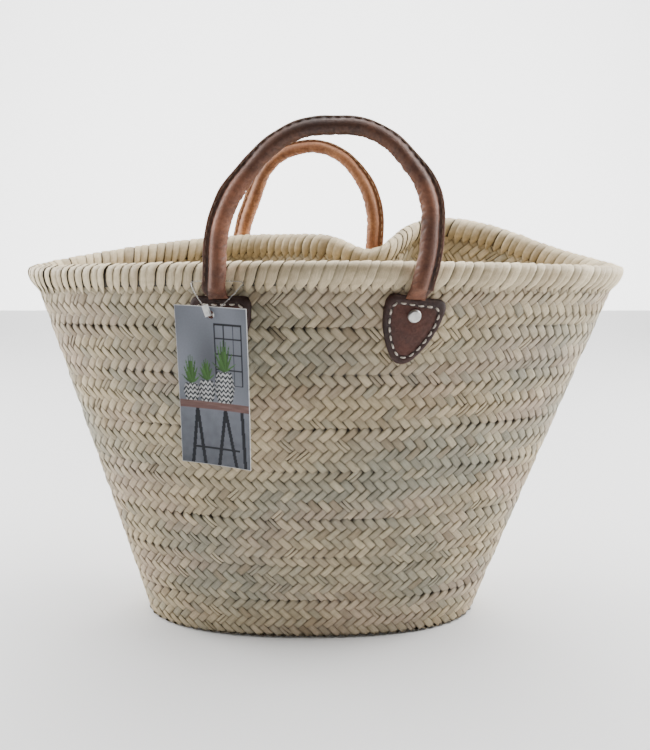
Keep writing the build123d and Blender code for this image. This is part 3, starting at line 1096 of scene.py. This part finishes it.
def patch(name, x, front, rivet_height, tilt):
    builder = Builder()
    centre_angle = wall_angle(x, front, rivet_height)
    origin, around, up, out = wall_axes(centre_angle, rivet_height / rim_height(centre_angle))
    turn = math.radians(tilt)

    def place(p, height):
        u = p.x * math.cos(turn) - p.y * math.sin(turn)
        v = p.x * math.sin(turn) + p.y * math.cos(turn)
        spot = origin + around * u + up * v
        return on_wall(spot.x, spot.z, front, height)[0]

    edge = patch_outline(96)
    rows = []
    tints = []
    coords = []
    for share, height in PATCH_SECTION:
        row = []
        for p in edge:
            q = p.lerp(PATCH_CENTRE, share)
            wobble = 0.25 * noise.noise(Vector((p.x * 0.09, p.y * 0.09, share * 9 + len(name))))
            row.append(place(q, height + (wobble if height > 2 else 0)))
        rows.append(row)
        # The border is darker as dyed leather edges are; the groove where the stitches pull the
        # leather in is painted darker still as painted shade.
        glow = 0.75 if share < 0.2 else (0.5 if share < 0.26 else 1.7)
        tints.append([(glow, glow * 0.95, glow * 0.95)] * len(edge))
        coords.append([(i * 1.5, share * 20) for i in range(len(edge))])
    builder.grid(rows, tints, coords, closed=True)
    start = len(builder.points) - len(edge)
    builder.faces.append(tuple(range(start, start + len(edge))))
    piece = builder.make(f"{name}_shield", patch_leather)
    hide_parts(f"{name}_patch")
    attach(piece, "basket")

    threads = Builder()
    line = patch_outline(PATCH_STITCHES * 8)
    for i in range(PATCH_STITCHES):
        a = line[i * 8 + 1].lerp(PATCH_CENTRE, STITCH_SHARE)
        b = line[i * 8 + 6].lerp(PATCH_CENTRE, STITCH_SHARE)
        start = place(a, STITCH_HEIGHT)
        end = place(b, STITCH_HEIGHT)
        _, outward = on_wall(start.x, start.z, front, 0)
        stitch(threads, start, end, outward, 0.8, 0.15)
    piece = threads.make(f"{name}_running_stitches", white_thread)
    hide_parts(f"{name}_patch_stitches")
    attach(piece, "basket")


for foot in FEET:
    patch(*foot)

# -------------------------------------------------------------------- the tag
CARD_WIDTH = 55
CARD_HEIGHT = 115
CARD_THICKNESS = 0.6
CARD_HOLE_DROP = 5.5
CARD_HOLE_RADIUS = 2.9
CARD_CELL = 0.5
HOLE = Vector((-64.5, -122.5, 295.5))
YAW = math.radians(20)
CARD_ACROSS = Vector((math.cos(YAW), -math.sin(YAW), 0))
CARD_OUT = Vector((-math.sin(YAW), -math.cos(YAW), 0))
WALL_GREY = (0.27, 0.29, 0.34)
TABLE_WOOD = (0.16, 0.09, 0.08)
TRESTLE = (0.012, 0.013, 0.018)
POT_LIGHT = (0.62, 0.62, 0.62)
POT_DARK = (0.04, 0.045, 0.05)
LEAF_GREEN = (0.05, 0.12, 0.03)
FRAME_DARK = (0.015, 0.016, 0.02)
CARD_EDGE = (0.62, 0.62, 0.62)


def foliage(u, v, centre, base, height, spread):
    # Rosette of narrow leaves growing out of a pot.
    rise = v - base
    if rise < -1 or rise > height:
        return 0.0
    for blade in range(-4, 5):
        lean = blade * spread / 4
        length = height * (1 - 0.045 * blade * blade)
        if rise > length:
            continue
        share = max(0.0, rise / length)
        middle = centre + lean * share ** 0.8
        half = 1.25 * (1 - share) + 0.25
        if abs(u - middle) < half:
            return 0.75 + 0.5 * ((blade + 4) % 3) / 2
    return 0.0


TABLE_UNDERSIDE = 42
TABLE_TOP = 47.5
# Where each trestle leg stands and where it meets the table.
TRESTLE_LEGS = [(9, 14), (19, 14), (30, 36), (44, 36), (51, 49)]
# Middle, half width and top of each pot, then height and spread of its leaves.
POTS = [(10, 6.0, 60, 20, 7), (22, 6.2, 63, 15, 6), (36, 7.5, 70, 22, 9)]


def print_colour(u, v):
    # u across from the left edge, v up from the bottom edge, millimetres.
    shade = 0.62 + 0.5 * noise.noise(Vector((u * 0.035, v * 0.02, 2.0)))
    colour = scaled(WALL_GREY, shade)
    window = abs(u - 40) < 11 and 60 < v < 104
    if window:
        edge = abs(u - 40) > 9.6 or v > 102.4
        if edge or (u - 29) % 7.3 < 0.9 or (v - 60) % 11 < 0.9:
            colour = FRAME_DARK
    if v < TABLE_UNDERSIDE:
        speckle = 0.1 * noise.noise(Vector((u * 0.2, v * 0.2, 6)))
        colour = scaled(WALL_GREY, 0.36 + 0.006 * v + speckle)
    for foot, head in TRESTLE_LEGS:
        x = foot + (head - foot) * v / TABLE_UNDERSIDE
        if v < TABLE_UNDERSIDE and abs(u - x) < 1.3:
            colour = TRESTLE
    if 12 < v < 14 and 9 < u < 47:
        colour = TRESTLE
    if TABLE_UNDERSIDE <= v < TABLE_TOP:
        grain = 0.5 * noise.noise(Vector((u * 0.1, v * 1.5, 0)))
        colour = scaled(TABLE_WOOD, 1.0 + grain)
    for centre, half, top, height, spread in POTS:
        leaf_shade = foliage(u, v, centre, top, height, spread)
        if leaf_shade:
            colour = scaled(LEAF_GREEN, leaf_shade)
        if TABLE_TOP <= v < top:
            share = (v - TABLE_TOP) / (top - TABLE_TOP)
            width = half * (0.72 + 0.3 * math.sin(math.pi * share))
            if abs(u - centre) < width:
                across = (u - centre) / width
                zigzag = abs((u - centre + 40) % 3.4 - 1.7) * 1.3
                pattern = (v + zigzag) % 3.4 < 1.5
                colour = scaled(POT_LIGHT if pattern else POT_DARK, 1.0 - 0.45 * across * across)
    return colour


def card_point(u, v, depth):
    # Local card coordinates from the hole; the card bows a little.
    bow = 1.6 * math.sin((CARD_HOLE_DROP - v) / CARD_HEIGHT * math.pi)
    curl = 0.0012 * u * u
    return HOLE + CARD_ACROSS * u + Vector((0, 0, v)) + CARD_OUT * (depth - bow * 0.5 + curl)


def card():
    builder = Builder()
    columns = int(CARD_WIDTH / CARD_CELL)
    lines = int(CARD_HEIGHT / CARD_CELL)
    for side in (1, -1):
        rows = []
        tints = []
        coords = []
        for j in range(lines + 1):
            v = CARD_HOLE_DROP - CARD_HEIGHT + j * CARD_CELL
            row = []
            tint_row = []
            for i in range(columns + 1):
                u = i * CARD_CELL - CARD_WIDTH / 2
                row.append((u, v))
                on_edge = i in (0, columns) or j in (0, lines)
                if side > 0 and not on_edge:
                    height = v - CARD_HOLE_DROP + CARD_HEIGHT
                    tint_row.append(print_colour(u + CARD_WIDTH / 2, height))
                else:
                    tint_row.append(CARD_EDGE)
            rows.append(row)
            tints.append(tint_row)
            coords.append([(i * CARD_CELL, v) for i in range(columns + 1)])
        start = len(builder.points)
        placed = []
        for row in rows:
            line = []
            for u, v in row:
                distance = math.hypot(u, v)
                if 1e-6 < distance < CARD_HOLE_RADIUS:
                    u, v = u * CARD_HOLE_RADIUS / distance, v * CARD_HOLE_RADIUS / distance
                line.append(card_point(u, v, side * CARD_THICKNESS / 2))
            placed.append(line)
        before = len(builder.faces)
        builder.grid(placed, tints, coords)
        kept = []
        for face in builder.faces[before:]:
            inside = 0
            for corner in face:
                i, j = (corner - start) % (columns + 1), (corner - start) // (columns + 1)
                u, v = rows[j][i]
                inside += math.hypot(u, v) < CARD_HOLE_RADIUS
            if inside < 4:
                kept.append(face if side > 0 else face[::-1])
        builder.faces[before:] = kept
    half = (columns + 1) * (lines + 1)
    border = [i for i in range(columns + 1)]
    border += [j * (columns + 1) + columns for j in range(1, lines + 1)]
    border += [lines * (columns + 1) + i for i in range(columns - 1, -1, -1)]
    border += [j * (columns + 1) for j in range(lines - 1, 0, -1)]
    for a, b in zip(border, border[1:] + border[:1]):
        builder.faces.append((b, a, a + half, b + half))
    piece = builder.make("printed_card", card_stock, smooth=False)
    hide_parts("tag_card")
    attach(piece, "tag")


def card_material():
    material, nodes, links, shader = new_material("card_stock")
    tint = add(nodes, "ShaderNodeAttribute", attribute_name="tint")
    place = add(nodes, "ShaderNodeTexCoord").outputs["Object"]
    fibre = grain_field(nodes, links, place, Scale=900.0, Detail=3.0)
    tone = ramp(nodes, links, fibre, [(0.3, 0.93), (0.7, 1.0)])
    links.new(multiply(nodes, links, tint.outputs["Color"], tone), shader.inputs["Base Color"])
    shader.inputs["Roughness"].default_value = 0.6
    shader.inputs["Specular IOR Level"].default_value = 0.25
    bump(nodes, links, shader, fibre, 0.1, 0.0001)
    return material


card_stock = card_material()
card()


def filament_material():
    material, nodes, links, shader = new_material("filament")
    place = add(nodes, "ShaderNodeTexCoord").outputs["Object"]
    haze = grain_field(nodes, links, place, Scale=600.0)
    tone_stops = [(0.3, (0.72, 0.72, 0.70)), (0.7, (0.88, 0.88, 0.86))]
    tone = ramp(nodes, links, haze, tone_stops)
    links.new(tone, shader.inputs["Base Color"])
    shader.inputs["Roughness"].default_value = 0.25
    shader.inputs["Transmission Weight"].default_value = 0.8
    return material


filament = filament_material()
SLOPE = math.radians(48)
LOOP_ROUTE = [
    (-0.5, -1.2),
    (1.0, -0.8),
    (22, 25.2),
    (19, 27.3),
    (10, 27.3),
    (-5, 27.3),
    (-13, 27.3),
    (-17, 25.2),
    (-1.7, 0.6),
    (-1.0, -0.9),
]
FILAMENT_RADIUS = 0.4


def loop_point(u, v):
    return (HOLE + Vector((u, v * math.cos(SLOPE), v * math.sin(SLOPE)))) * MM


def tag_loop():
    curve = bpy.data.curves.new("tag_string", "CURVE")
    curve.dimensions = "3D"
    curve.bevel_depth = FILAMENT_RADIUS * MM
    curve.resolution_u = 16
    curve.bevel_resolution = 3
    curve.use_fill_caps = True
    spline = curve.splines.new("NURBS")
    spline.points.add(len(LOOP_ROUTE) - 1)
    for point, (u, v) in zip(spline.points, LOOP_ROUTE):
        point.co = (*loop_point(u, v), 1)
    spline.order_u = 3
    spline.use_endpoint_u = True
    curve.materials.append(filament)
    piece = bpy.data.objects.new("tag_string", curve)
    bpy.context.scene.collection.objects.link(piece)
    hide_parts("tag_loop")
    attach(piece, "tag_hanger")


tag_loop()

# ------------------------------------------------- carried-over CAD pieces
for node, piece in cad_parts.items():
    if "rivet" in node:
        chosen = rivet_metal
    elif "seam_cord" in node or node == "rim_core_bundle":
        chosen = cord_fibre
    elif node.endswith("rope_core"):
        continue
    elif node.endswith("handle_tab"):
        chosen = flap_leather
    elif node == "tag_lock":
        chosen = lock_plastic
    else:
        continue
    piece.data.materials.clear()
    piece.data.materials.append(chosen)

# ------------------------------------------------------- camera and the stage
CAMERA_DISTANCE = 0.60
CAMERA_HEIGHT = 0.381
CAMERA_TILT = 15
CAMERA_X = 0.0132
CAMERA_LENS = 34.2
camera_data = bpy.data.cameras.new("camera")
camera_data.sensor_width = 36
camera_data.lens = CAMERA_LENS
camera = bpy.data.objects.new("camera", camera_data)
camera.location = (CAMERA_X, -CAMERA_DISTANCE, CAMERA_HEIGHT)
camera.rotation_euler = (math.radians(90 - CAMERA_TILT), 0, 0)
bpy.context.scene.collection.objects.link(camera)
bpy.context.scene.camera = camera

FLOOR_SIZE = 4.0
BACKDROP_Y = 1.6
BACKDROP_TOP = 3
BACKDROP_FOOT = -0.05


def studio_paint(name, grey, roughness, glow):
    material, _, _, shader = new_material(name)
    shader.inputs["Base Color"].default_value = (grey, grey, grey, 1)
    shader.inputs["Roughness"].default_value = roughness
    shader.inputs["Emission Color"].default_value = (1, 1, 1, 1)
    shader.inputs["Emission Strength"].default_value = glow
    return material


def studio_plane(name, corners, material):
    mesh = bpy.data.meshes.new(name)
    mesh.from_pydata(corners, [], [(0, 1, 2, 3)])
    mesh.materials.append(material)
    plane = bpy.data.objects.new(name, mesh)
    bpy.context.scene.collection.objects.link(plane)
    return plane


near = [(-FLOOR_SIZE, -FLOOR_SIZE, 0), (FLOOR_SIZE, -FLOOR_SIZE, 0)]
far = [(FLOOR_SIZE, FLOOR_SIZE, 0), (-FLOOR_SIZE, FLOOR_SIZE, 0)]
floor_paint = studio_paint("studio_white", 0.8, 0.8, 0.02)
studio_floor = studio_plane("studio_floor", near + far, floor_paint)

top = [(-FLOOR_SIZE, BACKDROP_Y, BACKDROP_TOP), (FLOOR_SIZE, BACKDROP_Y, BACKDROP_TOP)]
foot = [(FLOOR_SIZE, BACKDROP_Y, BACKDROP_FOOT), (-FLOOR_SIZE, BACKDROP_Y, BACKDROP_FOOT)]
backdrop_paint = studio_paint("studio_glow", 0.9, 0.5, 2.6)
backdrop = studio_plane("studio_backdrop", top + foot, backdrop_paint)

world = bpy.data.worlds.new("studio")
bpy.context.scene.world = world
world.use_nodes = True
background = world.node_tree.nodes["Background"]
background.inputs["Color"].default_value = (1, 1, 1, 1)
background.inputs["Strength"].default_value = 0.12


def softbox(name, location, target, size, power):
    light = bpy.data.lights.new(name, "AREA")
    light.shape = "RECTANGLE"
    light.size = size[0]
    light.size_y = size[1]
    light.energy = power
    lamp = bpy.data.objects.new(name, light)
    lamp.location = location
    direction = Vector(target) - Vector(location)
    lamp.rotation_euler = direction.to_track_quat("-Z", "Y").to_euler()
    bpy.context.scene.collection.objects.link(lamp)


softbox("left_box", (-1.25, 0.2, 0.75), (0, 0, 0.2), (0.8, 1.0), 34)
softbox("right_box", (1.25, 0.15, 0.8), (0, 0, 0.2), (0.8, 1.0), 40)
softbox("top_box", (0.1, 0.15, 1.3), (0, 0, 0.3), (0.9, 0.9), 15)
